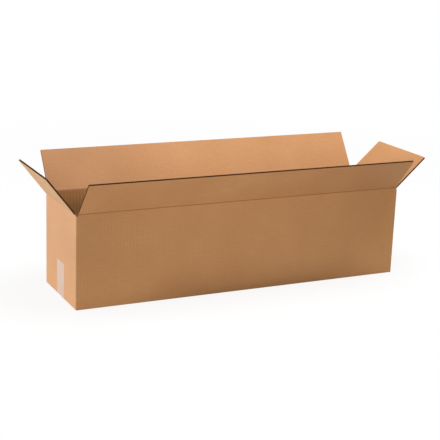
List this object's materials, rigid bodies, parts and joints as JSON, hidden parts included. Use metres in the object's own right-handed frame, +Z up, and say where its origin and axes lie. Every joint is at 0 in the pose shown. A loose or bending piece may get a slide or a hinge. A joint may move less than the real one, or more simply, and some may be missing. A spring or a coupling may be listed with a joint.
{
  "type": "open cardboard box",
  "caption": "Long shipping carton of corrugated board, standing open: taped bottom, glued corner lap and hinged top flaps that lean outwards.",
  "frame": {"origin": "middle of the carton's footprint, on the underside of the bottom tape, which is the lowest face", "axes": "+X along the carton's length, towards the right end; +Y towards the back wall; +Z up, out of the open top"},
  "size_m": [0.965, 0.3334, 0.3038],
  "materials": {
    "kraft_board": "matte",
    "tape_film": "satin"
  },
  "bodies": {
    "carton": {"carton_body": "kraft_board", "bottom_tape": "tape_film"},
    "front_flap": {"front_flap": "kraft_board"},
    "back_flap": {"back_flap": "kraft_board"},
    "left_flap": {"left_flap": "kraft_board"},
    "right_flap": {"right_flap": "kraft_board"}
  },
  "joints": [
    {"name": "front_flap_crease", "type": "hinge", "parent": "carton", "child": "front_flap", "pos_m": [0, -0.1035, 0.2177], "axis": [1, 0, 0], "range_deg": [-130, 100]},
    {"name": "back_flap_crease", "type": "hinge", "parent": "carton", "child": "back_flap", "pos_m": [0, 0.1035, 0.2177], "axis": [-1, 0, 0], "range_deg": [-124, 106]},
    {"name": "left_flap_crease", "type": "hinge", "parent": "carton", "child": "left_flap", "pos_m": [-0.4085, 0, 0.2134], "axis": [0, -1, 0], "range_deg": [-128, 102]},
    {"name": "right_flap_crease", "type": "hinge", "parent": "carton", "child": "right_flap", "pos_m": [0.4085, 0, 0.2134], "axis": [0, 1, 0], "range_deg": [-138, 92]}
  ]
}
